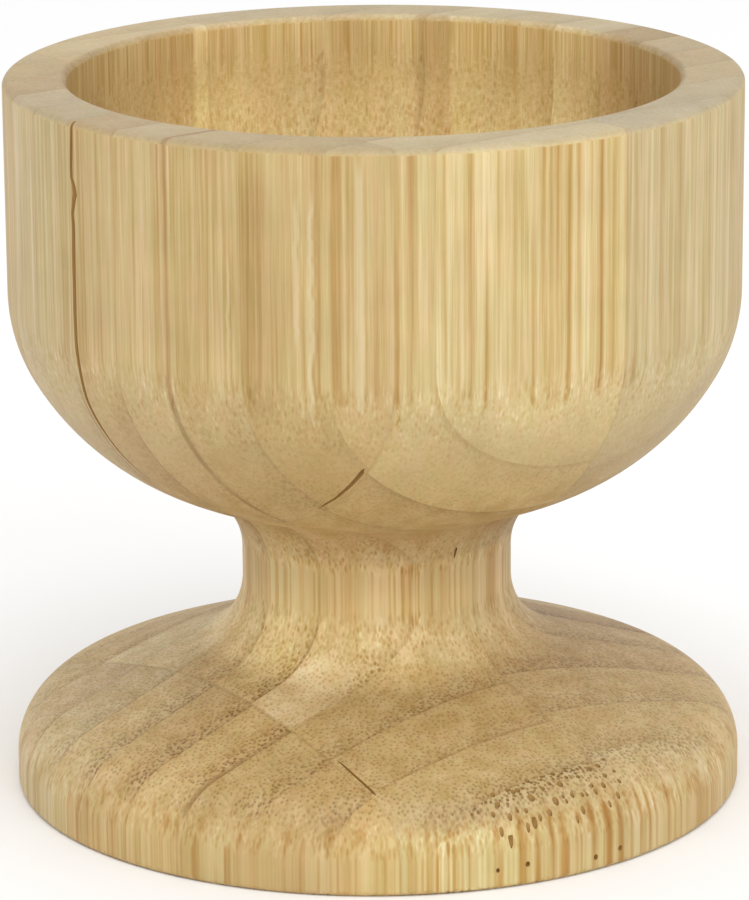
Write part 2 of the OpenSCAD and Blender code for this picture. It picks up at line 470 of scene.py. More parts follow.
def add_sockets(tree, way, kind, *names):
    for name in names:
        tree.interface.new_socket(name, in_out=way, socket_type=f"NodeSocket{kind}")


# Geometry: a lath cut from the turned form

def lath_tree():
    """Turned form in, a lath out: the blank is a box in the block's directions, cut by the form."""
    tree = bpy.data.node_groups.new("Turned lath", "GeometryNodeTree")
    add_sockets(tree, "INPUT", "Geometry", "Turned form")
    add_sockets(tree, "INPUT", "Vector", "Low corner", "High corner")
    add_sockets(tree, "INPUT", "Float", "Block turn")
    add_sockets(tree, "INPUT", "Object", "Openings")
    add_sockets(tree, "INPUT", "Material", "Wood")
    add_sockets(tree, "OUTPUT", "Geometry", "Lath")
    w = Wiring(tree)
    given = w.node("NodeGroupInput").outputs
    low, high = given["Low corner"], given["High corner"]
    blank = w.node("GeometryNodeMeshCube", inputs={"Size": w.vector("SUBTRACT", high, low)})
    middle = w.vector("SCALE", w.vector("ADD", high, low))
    middle.node.inputs["Scale"].default_value = 0.5
    placed = w.node("GeometryNodeTransform", inputs={
        "Geometry": blank.outputs["Mesh"], "Translation": middle})
    turned = w.node("GeometryNodeTransform", inputs={
        "Geometry": placed.outputs[0], "Rotation": w.combine(0.0, 0.0, given["Block turn"])})
    cut = w.node("GeometryNodeMeshBoolean", operation="INTERSECT", solver="MANIFOLD")
    tree.links.new(turned.outputs[0], cut.inputs["Mesh 2"])
    tree.links.new(given["Turned form"], cut.inputs["Mesh 2"])
    opening = w.node("GeometryNodeObjectInfo", transform_space="ORIGINAL",
                     inputs={"Object": given["Openings"]})
    marked = w.node("GeometryNodeStoreNamedAttribute", data_type="FLOAT", domain="FACE", inputs={
        "Geometry": opening.outputs["Geometry"], "Name": "opened", "Value": 1.0})
    opened = w.node("GeometryNodeMeshBoolean", operation="DIFFERENCE", solver="MANIFOLD",
                    inputs={"Mesh 1": cut.outputs["Mesh"]})
    tree.links.new(marked.outputs[0], opened.inputs["Mesh 2"])
    either = w.node("FunctionNodeBooleanMath", operation="OR", inputs={
        0: cut.outputs["Intersecting Edges"], 1: opened.outputs["Intersecting Edges"]})
    sharp = w.node("GeometryNodeStoreNamedAttribute", data_type="BOOLEAN", domain="EDGE", inputs={
        "Geometry": opened.outputs["Mesh"], "Name": "sharp_edge", "Value": either.outputs[0]})
    smooth = w.node("GeometryNodeSetShadeSmooth", domain="FACE", inputs={"Geometry": sharp.outputs[0]})
    real = w.node("GeometryNodeRealizeInstances", inputs={"Geometry": smooth.outputs[0]})
    painted = w.node("GeometryNodeSetMaterial", inputs={
        "Geometry": real.outputs[0], "Material": given["Wood"]})
    w.node("NodeGroupOutput", inputs={"Lath": painted.outputs[0]})
    return tree


def fill_modifier(modifier, values):
    """Sets a tree's named inputs by their sockets' identifiers."""
    for item in modifier.node_group.interface.items_tree:
        if item.item_type == "SOCKET" and item.in_out == "INPUT" and item.name in values:
            modifier[item.identifier] = values[item.name]


def finished_mesh(name, source, tree, values):
    """The mesh that a tree makes of a source mesh, as a plain object with no modifier."""
    rough = bpy.data.objects.new(name, source)
    bpy.context.scene.collection.objects.link(rough)
    modifier = rough.modifiers.new("Cut", "NODES")
    modifier.node_group = tree
    fill_modifier(modifier, values)
    seen = rough.evaluated_get(bpy.context.evaluated_depsgraph_get())
    mesh = bpy.data.meshes.new_from_object(seen)
    rough.modifiers.remove(modifier)
    rough.data = mesh
    mesh.name = name
    if not mesh.polygons:
        raise RuntimeError(f"{name} came out empty")
    return rough


def store(mesh, name, values):
    """Stores one number or vector for each point as an attribute that the material reads."""
    vector = isinstance(values[0], tuple)
    attribute = mesh.attributes.new(name, "FLOAT_VECTOR" if vector else "FLOAT", "POINT")
    flat = [number for value in values for number in value] if vector else values
    attribute.data.foreach_set("vector" if vector else "value", flat)


def paint_lath(mesh, cup, lath):
    """Stores what the material needs to know of a lath: where its glue line is, and its look."""
    into_block = Matrix.Rotation(-cup.block_turn, 3, "Z")
    look = look_of(lath)
    looks = [blemished(look, lath, into_block @ v.co / MM) for v in mesh.vertices]
    count = len(mesh.vertices)
    flipped = f"{lath.board}_{lath.row}" in FLIPPED
    shift = LINE_SHIFTS.get(f"{lath.piece}_{lath.board}_{lath.row}", 0.0)
    store(mesh, "front_line", [line_place(cup, lath.board, lath.row) / MM + shift] * count)
    store(mesh, "skin_line", [line_place(cup, lath.board, lath.row + flipped) / MM] * count)
    store(mesh, "skin_way", [-1.0 if flipped else 1.0] * count)
    store(mesh, "lath_seed", [float(BOARDS.index(lath.board) * 20 + lath.row)] * count)
    store(mesh, "tint", [l.tint for l in looks])
    store(mesh, "bundles", [l.bundles for l in looks])
    store(mesh, "line", [l.line for l in looks])


# Bold streaks on the bowl's outer wall and on the foot's edge: azimuth in degrees, width in
# millimetres, strength at the upper and at the lower end, and how pink they are

Streak = namedtuple("Streak", "azimuth width upper lower pink")
WALL_STREAKS = [Streak(*row) for row in (
    (-144.0, 0.35, 0.35, 0.35, 0.8), (-123.4, 0.18, 0.50, 0.30, 0.6), (-122.1, 0.30, 0.70, 0.70, 0.5),
    (-115.8, 0.12, 0.40, 0.20, 1.0), (-113.6, 0.50, 0.40, 0.10, 0.3), (-107.0, 0.20, 0.35, 0.30, 0.5),
    (-98.4, 0.30, 0.45, 0.10, 0.6), (-95.8, 0.55, 0.80, 0.70, 0.0), (-93.9, 0.18, 0.50, 0.40, 0.2),
    (-89.9, 0.30, 0.30, 0.60, 0.3), (-86.8, 0.35, 0.45, 0.95, 0.0), (-84.8, 0.45, 0.80, 0.35, 0.5),
    (-79.9, 0.22, 0.75, 0.20, 0.0), (-76.0, 0.30, 0.80, 0.75, 0.3), (-73.6, 0.25, 0.10, 0.90, 0.1),
    (-71.8, 0.25, 0.50, 0.10, 0.0), (-69.3, 0.25, 0.40, 0.15, 0.0), (-66.2, 0.28, 0.20, 0.75, 0.2),
    (-64.7, 0.35, 1.00, 0.40, 0.0), (-63.6, 0.18, 0.60, 0.30, 0.8), (-62.4, 0.35, 0.90, 0.45, 0.3),
    (-60.4, 0.32, 0.70, 1.00, 0.35), (-58.8, 0.38, 0.90, 0.15, 0.0), (-54.7, 0.42, 0.85, 0.95, 0.6),
    (-52.4, 0.22, 0.25, 0.35, 0.7), (-48.0, 0.30, 0.25, 0.60, 0.7), (-42.3, 0.40, 0.60, 0.45, 0.1),
    (-37.7, 0.35, 0.60, 0.35, 0.8), (-33.2, 0.25, 0.35, 0.20, 0.6), (-30.6, 0.20, 0.20, 0.25, 0.4),
)]
EDGE_STREAKS = [Streak(*row) for row in (
    (-82.7, 0.30, 0.5, 0.7, 0.0), (-81.3, 0.20, 0.4, 0.5, 0.0), (-79.6, 0.20, 0.4, 0.5, 0.1),
    (-76.4, 0.28, 0.2, 0.3, 0.2), (-71.8, 0.42, 0.3, 0.7, 0.1), (-68.1, 0.48, 0.8, 1.0, 0.3),
    (-65.5, 0.34, 0.2, 1.0, 0.4), (-63.0, 0.34, 0.8, 0.2, 0.0), (-61.0, 0.52, 0.5, 1.0, 0.0),
    (-55.6, 0.42, 1.0, 0.3, 0.1), (-52.8, 0.46, 1.0, 0.9, 0.0), (-50.2, 0.34, 0.6, 0.9, 0.4),
    (-48.1, 0.24, 0.4, 0.5, 0.3), (-45.9, 0.28, 0.9, 0.4, 0.2), (-44.0, 0.28, 0.9, 0.4, 0.2),
    (-42.5, 0.20, 0.5, 0.3, 0.5), (-39.2, 0.26, 0.6, 0.3, 0.3), (-36.1, 0.26, 0.5, 0.3, 0.3),
)]

# Height where the streaks of the foot's edge begin, in millimetres; they run down to its underside
EDGE_STREAKS_TOP = 5.0

# Pale torn streaks on the bowl's outer wall: azimuth in degrees, width, upper and lower end in
# millimetres, strength and how far they wave from side to side in millimetres
PaleStreak = namedtuple("PaleStreak", "azimuth width upper lower strength wave")
PALE_STREAKS = [PaleStreak(*row) for row in (
    (-101.5, 0.24, 46.6, 36.8, 0.50, 0.55), (-99.3, 0.20, 46.8, 30.6, 0.65, 0.60),
    (-92.2, 0.38, 49.0, 31.0, 0.60, 0.10), (-111.9, 0.14, 43.0, 33.0, 0.35, 0.40),
    (-27.0, 0.40, 49.0, 33.0, 0.45, 0.10),
)]


def streak_group():
    """Three bold streaks at once, one in each component of its vectors."""
    tree = bpy.data.node_groups.new("Three streaks", "ShaderNodeTree")
    add_sockets(tree, "INPUT", "Vector", "Azimuth", "Drop", "Places", "Sharpness", "Upper", "Change", "Pink")
    add_sockets(tree, "OUTPUT", "Float", "Strength", "Pinkness")
    w = Wiring(tree)
    given = w.node("NodeGroupInput").outputs
    off = w.vector("ABSOLUTE", w.vector("SUBTRACT", given["Azimuth"], given["Places"]))
    near = w.vector("SUBTRACT", (1.0, 1.0, 1.0), w.vector("MULTIPLY", off, given["Sharpness"]))
    near = w.vector("MAXIMUM", near, (0.0, 0.0, 0.0))
    strength = w.vector("MULTIPLY_ADD", given["Change"], given["Drop"], given["Upper"])
    strength = w.vector("MAXIMUM", strength, (0.0, 0.0, 0.0))
    there = w.vector("MULTIPLY", near, strength)
    w.node("NodeGroupOutput", inputs={
        "Strength": w.vector("DOT_PRODUCT", there, (1.0, 1.0, 1.0)),
        "Pinkness": w.vector("DOT_PRODUCT", there, given["Pink"])})
    return tree


def azimuth_of(w, at):
    """Degrees round the cup, with a slight wander up its height."""
    turn = w.math("ARCTAN2", at.away, at.sideways)
    wavy = w.noise(w.combine(0.0, 0.0, at.height), 0.25)
    return w.math("MULTIPLY_ADD", turn, math.degrees(1.0), w.math("MULTIPLY_ADD", wavy, 0.5, -0.25))


def wall_mask(w, cup, at):
    """1 on the bowl's outer wall and 0 elsewhere."""
    top, rim_r = CUP_TOP / MM, cup.rim_diameter / 2 / MM
    return w.product(w.math("SUBTRACT", 1.0, at.broken), w.ramp(at.radius, rim_r - 1.0, rim_r - 0.6),
                     w.ramp(at.height, top - 22.0, top - 20.0))


def edge_mask(w, cup, at):
    """How much the bold streaks show on the foot's upright edge, and 0 elsewhere."""
    foot_r = cup.foot_diameter / 2 / MM
    return w.product(w.ramp(at.broken, 0.0, 1.0, 1.0, 0.35, smooth=False),
                     w.ramp(at.radius, foot_r - 2.2, foot_r - 1.0), w.ramp(at.height, 4.6, 6.2, 1.6, 0.0))


def pale_streaks(w, cup, at, degrees):
    """How pale the torn streaks are, and how dark the thin edge at their right side is."""
    per_degree = math.radians(1) * cup.rim_diameter / 2 / MM
    pale, dark = 0.0, 0.0
    for number, streak in enumerate(PALE_STREAKS):
        wave = w.noise(w.combine(0.0, 7.0 * number, at.height), 0.55, 2.0)
        aside = w.math("SUBTRACT", degrees, streak.azimuth)
        aside = w.math("MULTIPLY_ADD", aside, per_degree, -streak.wave / 2)
        aside = w.math("MULTIPLY_ADD", wave, streak.wave, aside)
        ends = w.band(at.height, streak.lower - 0.5, streak.lower + 1.5,
                      streak.upper - 1.5, streak.upper + 0.5, streak.strength)
        half = streak.width / 2
        body = w.ramp(w.math("ABSOLUTE", aside), half - 0.06, half + 0.10, 1.0, 0.0)
        edge = w.ramp(w.math("ABSOLUTE", w.math("SUBTRACT", aside, half + 0.18)), 0.0, 0.14, 1.0, 0.0)
        pale = w.math("MULTIPLY_ADD", body, ends, pale)
        dark = w.math("MULTIPLY_ADD", edge, ends, dark)
    on_wall = wall_mask(w, cup, at)
    return w.math("MULTIPLY", pale, on_wall, clamp=True), w.math("MULTIPLY", dark, on_wall, clamp=True)


def bold_streaks(w, cup, at, degrees, streaks, top, length_mm, mask):
    """Strength and pinkness of bold streaks that run down from a height, within a mask."""
    group = bpy.data.node_groups.get("Three streaks") or streak_group()
    spread = 0.9  # how far a streak fades out to each side, in shares of its width
    azimuth = w.combine(degrees, degrees, degrees)
    share_down = w.math("DIVIDE", w.math("SUBTRACT", top, at.height), length_mm)
    drop = w.combine(share_down, share_down, share_down)
    rim_r = cup.rim_diameter / 2 / MM
    strength, pinkness = 0.0, 0.0
    for first in range(0, len(streaks), 3):
        three = streaks[first:first + 3]
        made = w.node("ShaderNodeGroup", node_tree=group, inputs={
            "Azimuth": azimuth, "Drop": drop,
            "Places": [s.azimuth for s in three],
            "Sharpness": [math.radians(1) * rim_r / (s.width * spread) for s in three],
            "Upper": [s.upper for s in three],
            "Change": [s.lower - s.upper for s in three],
            "Pink": [s.pink for s in three]})
        strength = w.math("ADD", made.outputs["Strength"], strength)
        pinkness = w.math("ADD", made.outputs["Pinkness"], pinkness)
    return w.math("MULTIPLY", strength, mask, clamp=True), w.math("MULTIPLY", pinkness, mask, clamp=True)


# Brownish patches of the wood inside the bowl, at the back: place from left to right where each
# begins, is full, is last full and ends, in millimetres, and its strength
INSIDE_PATCHES = ((-19.5, -15.5, -12.6, -12.2, 0.9), (-4.6, -3.0, -0.8, 0.2, 0.25),
                  (3.0, 3.8, 5.6, 6.0, 0.8), (9.0, 10.0, 12.0, 12.6, 0.15))


def inside_patches(w, at):
    """How strong the brownish patches are."""
    drift = w.noise(w.vector("MULTIPLY", at.place, (0.0, 0.0, 1.0)), 0.5)
    sideways = w.math("MULTIPLY_ADD", drift, 0.6, at.sideways)
    strength = 0.0
    for patch in INSIDE_PATCHES:
        strength = w.math("ADD", w.band(sideways, *patch), strength)
    strength = w.product(strength, w.ramp(at.away, 7.0, 14.0), w.ramp(at.height, 33.0, 38.0))
    return w.math("MULTIPLY", strength, at.inside, clamp=True)


# Where a point of the wood lies, in millimetres: in the cup's and in the block's directions, and
# how far out. The rest are shares: how far its surface cuts across the grain, whether the streaks
# are broken up into dots, dashed or torn there, and whether it's in the bowl's hollow, on the
# rim's top, as near the axis as the stem, below the bowl, and both of these
Place = namedtuple("Place", "place sideways away height block along across radius end_grain broken "
                            "dashed torn inside on_rim stem low by_stem")


def wood_place(w, cup):
    coordinates = w.node("ShaderNodeTexCoord").outputs
    place = w.node("ShaderNodeMapping", {
        "Vector": coordinates["Object"], "Scale": (1 / MM, 1 / MM, 1 / MM)}).outputs[0]
    block = w.node("ShaderNodeMapping", {
        "Vector": place, "Rotation": (0.0, 0.0, -cup.block_turn)}).outputs[0]
    sideways, away, _ = w.split(place)
    along, across, height = w.split(block)
    radius = w.vector("LENGTH", w.combine(along, across, 0.0))
    tilt = w.math("ABSOLUTE", w.split(coordinates["Normal"])["Z"])
    top = CUP_TOP / MM
    low = w.ramp(height, 24.0, 26.0, 1.0, 0.0)
    stem = w.ramp(radius, 10.5, 13.0, 1.0, 0.0)

    mouth_z, mouth_r = top - cup.mouth_depth / MM, (cup.rim_diameter / 2 - cup.rim_wall) / MM
    below = w.math("MINIMUM", w.math("SUBTRACT", height, mouth_z), 0.0)
    from_mouth = w.vector("LENGTH", w.combine(along, across, below))
    inside = w.ramp(from_mouth, mouth_r + 0.15, mouth_r + 0.5, 1.0, 0.0)

    # The streaks break up raggedly where the wall leans, sooner inside and later by the foot's edge
    drawn = w.noise(w.vector("MULTIPLY", block, (1.0, 1.0, 0.12)), 1.9, 2.0, 0.6)
    frayed = w.noise(w.vector("MULTIPLY", block, (1.0, 1.0, 0.25)), 4.2, 2.0, 0.6)
    ragged = w.math("MULTIPLY_ADD", w.math("SUBTRACT", drawn, 0.5), 0.36, tilt)
    below_rim = w.ramp(height, top - 1.6, top - 1.0, 0.50, 0.10)
    ragged = w.math("MULTIPLY_ADD", w.math("SUBTRACT", frayed, 0.5), below_rim, ragged)
    sunk = w.ramp(height, mouth_z - 1.0, mouth_z + 3.0, 0.34, 0.0, smooth=False)
    ragged = w.math("MULTIPLY_ADD", inside, sunk, ragged)
    edge = cup.foot_edge_height / MM
    ragged = w.math("SUBTRACT", ragged, w.ramp(height, edge + 2.6, edge + 4.4, 0.28, 0.0))
    broken = w.ramp(ragged, 0.14, w.math("MULTIPLY_ADD", low, 0.10, 0.28))
    last_torn = w.math("MULTIPLY_ADD", low, 0.3, 0.32)
    end_torn = w.math("MULTIPLY_ADD", low, 0.32, 0.60)
    return Place(
        place, sideways, away, height, block, along, across, radius, broken=broken, inside=inside,
        end_grain=w.ramp(tilt, 0.15, 0.8),
        dashed=w.math("MULTIPLY", broken, w.ramp(tilt, 0.45, 0.7, 1.0, 0.0)),
        torn=w.math("MULTIPLY", w.band(tilt, 0.03, 0.15, last_torn, end_torn),
                    w.ramp(height, top - 1.6, top - 1.0, 1.0, 0.0)),
        on_rim=w.ramp(height, top - 0.45, top - 0.1), stem=stem, low=low,
        by_stem=w.math("MULTIPLY", stem, low))


# The grain at a point: the lath's own number, how near its dark outer side is, the place drawn
# out along the fibres, broad bands, and threads on upright walls or grains elsewhere
Grain = namedtuple("Grain", "seed skin drawn_out bands fine")


def wood_grain(w, cup, at):
    seed = w.attribute("lath_seed")
    depth = w.math("MULTIPLY", w.math("SUBTRACT", at.across, w.attribute("skin_line")),
                   w.attribute("skin_way"))
    depth = w.math("DIVIDE", depth, cup.lath_thickness / MM)
    depth = w.math("ADD", depth, w.math("MULTIPLY_ADD", w.noise(at.block, 0.5), 0.4, -0.2))
    apart = w.combine(w.math("MULTIPLY", seed, 5.3), w.math("MULTIPLY", seed, 3.1), 0.0)
    drawn_out = w.vector("ADD", w.vector("MULTIPLY", at.block, (1.0, 1.0, 0.015)), apart)
    threads = w.noise(drawn_out, 4.0, 3.0, 0.72)
    grains = w.noise(at.place, 3.0, 4.0, 0.80)
    return Grain(seed, w.ramp(depth, 0.0, 0.5, 1.0, 0.0), drawn_out, w.noise(drawn_out, 0.7, 2.0),
                 w.between(at.broken, threads, grains))


def fibre_cells(w, place, dimensions, scale, core, edge, faintest):
    """Round cells of fibre, each of its own strength."""
    cells = w.node("ShaderNodeTexVoronoi", voronoi_dimensions=dimensions, inputs={
        "Vector": place, "Scale": scale, "Randomness": 0.92})
    draw = w.node("ShaderNodeSeparateColor", {"Color": cells.outputs["Color"]}).outputs[0]
    return w.math("MULTIPLY", w.ramp(cells.outputs["Distance"], core, edge, 1.0, 0.0),
                  w.ramp(draw, 0.0, 1.0, faintest, 1.0))


def fibre_bundles(w, at, grain):
    """The bundles of fibre, dots across the grain and streaks along it, close at the lath's skin."""
    drift = w.noise(w.vector("MULTIPLY", at.block, (0.25, 0.25, 0.05)), 1.0, wanted="Color")
    drift = w.vector("MULTIPLY", w.vector("SUBTRACT", drift, (0.5, 0.5, 0.5)), (0.5, 0.5, 0.0))
    apart = w.combine(w.math("MULTIPLY", grain.seed, 31.7), w.math("MULTIPLY", grain.seed, 17.3), 0.0)
    moved = w.vector("ADD", drift, apart)
    columns = w.vector("ADD", w.vector("MULTIPLY", at.block, (1.0, 1.0, 0.0)), moved)
    dashes = w.vector("ADD", w.vector("MULTIPLY", at.block, (1.0, 1.0, 0.5)), moved)
    large = w.between(at.dashed, fibre_cells(w, columns, "2D", 2.4, 0.14, 0.40, 0.40),
                      fibre_cells(w, dashes, "3D", 2.5, 0.22, 0.48, 0.40))
    small = w.between(at.dashed, fibre_cells(w, columns, "2D", 3.3, 0.16, 0.44, 0.30),
                      fibre_cells(w, dashes, "3D", 3.4, 0.22, 0.52, 0.30))
    near_skin = w.ramp(grain.skin, 0.0, 1.0, 0.35, 1.35, smooth=False)
    near_skin = w.math("MULTIPLY", near_skin, w.attribute("bundles"))
    on_bowl = w.math("MAXIMUM", w.ramp(at.height, 17.0, 21.0, 1.0, 0.5),
                     w.math("MULTIPLY", at.inside, 0.8))
    large = w.math("MULTIPLY", large, near_skin)
    small = w.math("MULTIPLY", small, w.math("MULTIPLY_ADD", near_skin, 0.45, 0.45))
    faint_on_rim = w.ramp(at.on_rim, 0.0, 1.0, 1.0, 0.3, smooth=False)
    return w.product(w.math("MAXIMUM", large, small), on_bowl, faint_on_rim)


# Shares of red, green and blue that are left of the wood's colour, by its grain and by place, and the painted
# light, shade and sheen by place
PALE_GRAIN, GOLDEN_GRAIN = (1.15, 1.21, 1.38), (0.86, 0.79, 0.60)
GREENISH, REDDISH = (0.98, 1.00, 0.97), (1.02, 0.99, 1.01)
CUT_ACROSS = (0.86, 0.80, 0.74)
PALE_SHRED = (1.14, 1.22, 1.45)
# The second of these is painted shade over the front and sides of the hollow; the first and the third are the
# wood's own colour there
HOLLOW, HOLLOW_FRONT_PAINTED_SHADE, HOLLOW_PATCH = (0.99, 0.97, 0.93), (0.88, 0.85, 0.82), (0.78, 0.71, 0.64)
# Painted light on the back of the hollow, strongest low down
HOLLOW_BACK_LOW_PAINTED_LIGHT, HOLLOW_BACK_TOP_PAINTED_LIGHT = (1.46, 1.54, 1.58), (1.30, 1.31, 1.28)
# Painted shadow under the bowl, darker at the right
NECK_LEFT_PAINTED_SHADOW, NECK_RIGHT_PAINTED_SHADOW = (0.83, 0.82, 0.85), (0.76, 0.76, 0.80)
# Painted light on the stem's lower part, lighter at the left
ANKLE_LEFT_PAINTED_LIGHT, ANKLE_RIGHT_PAINTED_LIGHT = (1.17, 1.24, 1.30), (1.00, 1.03, 1.05)
# Painted light on the stem, painted light and sheen on the foot's top, and painted light on the front of the
# foot's upright edge
STEM_PAINTED_LIGHT, FOOT_TOP_PAINTED_SHEEN, FOOT_EDGE_PAINTED_LIGHT = (1.00, 1.02, 1.06), (1.12, 1.16, 1.22), (1.18, 1.28, 1.36)
# Painted sheen on the rim's top, greyer towards the back
RIM_LEFT_PAINTED_SHEEN, RIM_MIDDLE_PAINTED_SHEEN, RIM_BACK_PAINTED_SHEEN = (0.91, 0.98, 1.20), (0.93, 1.05, 1.39), (0.94, 1.08, 1.50)


def ground_colour(w, at, grain, wood):
    """The wood between its bundles of fibre, from pale to golden, with painted light near the stem."""
    fine_share = w.math("MULTIPLY_ADD", at.low, -0.30, 0.65)
    goldenness = w.between(fine_share, grain.bands, grain.fine)
    goldenness = w.ramp(goldenness, 0.37, 0.61, smooth=False)
    contrast = w.between(at.broken, w.math("MULTIPLY_ADD", at.low, -0.3, 1.0),
                         w.math("MULTIPLY_ADD", at.low, 0.25, 0.35))
    contrast = w.math("MULTIPLY_ADD", at.inside, 0.35, contrast)
    goldenness = w.math("MULTIPLY_ADD", w.math("SUBTRACT", goldenness, 0.5), contrast, 0.5)
    tint = w.mix(w.math("MULTIPLY", at.inside, 0.6), w.attribute("tint", "Vector"), HOLLOW)
    ground = w.vector("MULTIPLY", tuple(wood), tint)
    ground = w.stained(1.0, ground, w.mix(goldenness, PALE_GRAIN, GOLDEN_GRAIN))
    hue = w.noise(w.vector("MULTIPLY", at.block, (1.0, 1.0, 0.2)), 1.1, 2.0)
    ground = w.stained(1.0, ground, w.mix(w.ramp(hue, 0.35, 0.65), GREENISH, REDDISH))
    mottle = w.ramp(w.noise(at.place, 0.28, 3.0), 0.3, 0.7, 0.95, 1.05, smooth=False)
    at_skin = w.math("MULTIPLY", grain.skin, at.broken)
    # The mottle and the darker skin are the wood's own tone; the last factor is painted light, making the
    # wood as near the axis as the stem up to 12% lighter
    tone_and_stem_light = w.product(mottle, w.ramp(at_skin, 0.0, 1.0, 1.02, 0.95, smooth=False),
                      w.ramp(at.stem, 0.0, 1.0, 1.0, 1.12, smooth=False))
    ground = w.stained(1.0, ground, w.combine(tone_and_stem_light, tone_and_stem_light, tone_and_stem_light))
    return w.stained(at.end_grain, ground, CUT_ACROSS)


def toned_by_place(w, at, colour_value):
    """The wood's colour with painted light and shade by place: painted shade at the front of the hollow and
    painted light at its back, painted light on the stem and a painted shadow under the bowl, painted light
    and sheen on the foot, and a painted sheen on the rim; the brownish patches in the hollow are the wood's
    own.
    """
    # Painted light and shade in the hollow: darker at its front and sides, much lighter at its back, and
    # lighter low down than high up
    back_painted_light = w.mix(w.ramp(at.height, 42.5, 47.5), HOLLOW_BACK_LOW_PAINTED_LIGHT, HOLLOW_BACK_TOP_PAINTED_LIGHT)
    hollow = w.mix(w.ramp(at.away, 7.0, 17.5), HOLLOW_FRONT_PAINTED_SHADE, back_painted_light)
    toned = w.stained(at.inside, colour_value, hollow)
    toned = w.stained(inside_patches(w, at), toned, HOLLOW_PATCH)
    # Painted light on the stem's lower part and a painted shadow under the bowl, both changing from left to
    # right
    at_right = w.ramp(at.sideways, 2.0, 8.0)
    by_stem = w.mix(w.ramp(at.height, 14.0, 17.0), w.mix(at_right, ANKLE_LEFT_PAINTED_LIGHT, ANKLE_RIGHT_PAINTED_LIGHT),
                    w.mix(at_right, NECK_LEFT_PAINTED_SHADOW, NECK_RIGHT_PAINTED_SHADOW))
    toned = w.stained(w.math("MULTIPLY", at.by_stem, w.ramp(at.broken, 0.0, 1.0, 0.3, 1.0)), toned, by_stem)
    # Painted light on the stem where its streaks are unbroken
    toned = w.stained(w.math("MULTIPLY", at.by_stem, w.math("SUBTRACT", 1.0, at.broken)), toned, STEM_PAINTED_LIGHT)
    # Painted light and sheen: the foot's upward end grain made lighter and greyer
    foot_top_sheen_share = w.math("MULTIPLY", w.ramp(at.height, 12.0, 14.0, 1.0, 0.0), at.end_grain)
    toned = w.stained(foot_top_sheen_share, toned, FOOT_TOP_PAINTED_SHEEN)
    # Painted light on the front of the foot's upright edge, fading out to its left and right
    edge_light_share = w.product(w.ramp(at.height, 5.5, 8.5, 1.0, 0.0), w.ramp(at.end_grain, 0.2, 0.9, 1.0, 0.0),
                        w.ramp(at.sideways, -3.0, 3.0), w.ramp(at.sideways, 8.0, 12.0, 1.0, 0.1))
    toned = w.stained(edge_light_share, toned, FOOT_EDGE_PAINTED_LIGHT)
    # Painted sheen on the rim's top, greyer towards the back
    off_left = w.math("MAXIMUM", w.ramp(at.sideways, -22.0, -12.0), w.ramp(at.away, 2.0, 10.0))
    rim = w.mix(off_left, RIM_LEFT_PAINTED_SHEEN, w.mix(w.ramp(at.away, 12.0, 20.0), RIM_MIDDLE_PAINTED_SHEEN, RIM_BACK_PAINTED_SHEEN))
    return w.stained(at.on_rim, toned, rim)


def with_bundles(w, at, coloured, bundles, finish):
    """Fibre bundles, brown where they're cut across and golden along the walls."""
    darkness = w.math("MULTIPLY", at.end_grain, w.ramp(at.by_stem, 0.0, 1.0, 1.0, 0.35, smooth=False))
    across = w.mix(darkness, finish.golden, finish.fibre)
    return w.stained(bundles, coloured, w.mix(at.broken, finish.golden, across))


def with_shreds(w, at, coloured, finish):
    """Torn fibres, pale and golden, where the streaks break up into dots."""
    shreds = w.vector("MULTIPLY", at.block, (1.0, 1.0, 0.28))
    pale = w.product(fibre_cells(w, shreds, "3D", 3.6, 0.16, 0.50, 0.0), at.torn, 0.8)
    shreds = w.vector("ADD", shreds, (3.7, 1.9, 0.6))
    amount = w.math("MULTIPLY_ADD", at.by_stem, 0.35, w.ramp(at.inside, 0.0, 1.0, 0.5, 0.7, smooth=False))
    gold = w.product(fibre_cells(w, shreds, "3D", 4.3, 0.14, 0.56, 0.1), at.torn, amount)
    return w.stained(gold, w.stained(pale, coloured, PALE_SHRED), finish.golden)


def with_streaks(w, cup, at, grain, coloured, finish):
    """Golden streaks down the stem and round the foot's edge, and the bold and the pale ones."""
    streaky = w.product(w.ramp(w.noise(grain.drawn_out, 1.1, 2.0, 0.5), 0.50, 0.64), at.low,
                        w.math("SUBTRACT", 1.0, at.broken),
                        w.ramp(at.stem, 0.0, 1.0, 0.65, 0.5, smooth=False))
    coloured = w.stained(streaky, coloured, finish.golden)
    degrees = azimuth_of(w, at)
    for streaks, top, length_mm, mask in (
            (WALL_STREAKS, CUP_TOP / MM, cup.wall_height / MM, wall_mask(w, cup, at)),
            (EDGE_STREAKS, EDGE_STREAKS_TOP, EDGE_STREAKS_TOP, edge_mask(w, cup, at))):
        boldness, pinkness = bold_streaks(w, cup, at, degrees, streaks, top, length_mm, mask)
        coloured = w.stained(boldness, coloured, finish.golden)
        coloured = w.stained(w.math("MULTIPLY", pinkness, 0.5), coloured, finish.pinkish)
    pale, dark = pale_streaks(w, cup, at, degrees)
    coloured = w.mix(pale, coloured, finish.split)
    return w.stained(w.math("MULTIPLY", dark, 0.6), coloured, finish.golden)


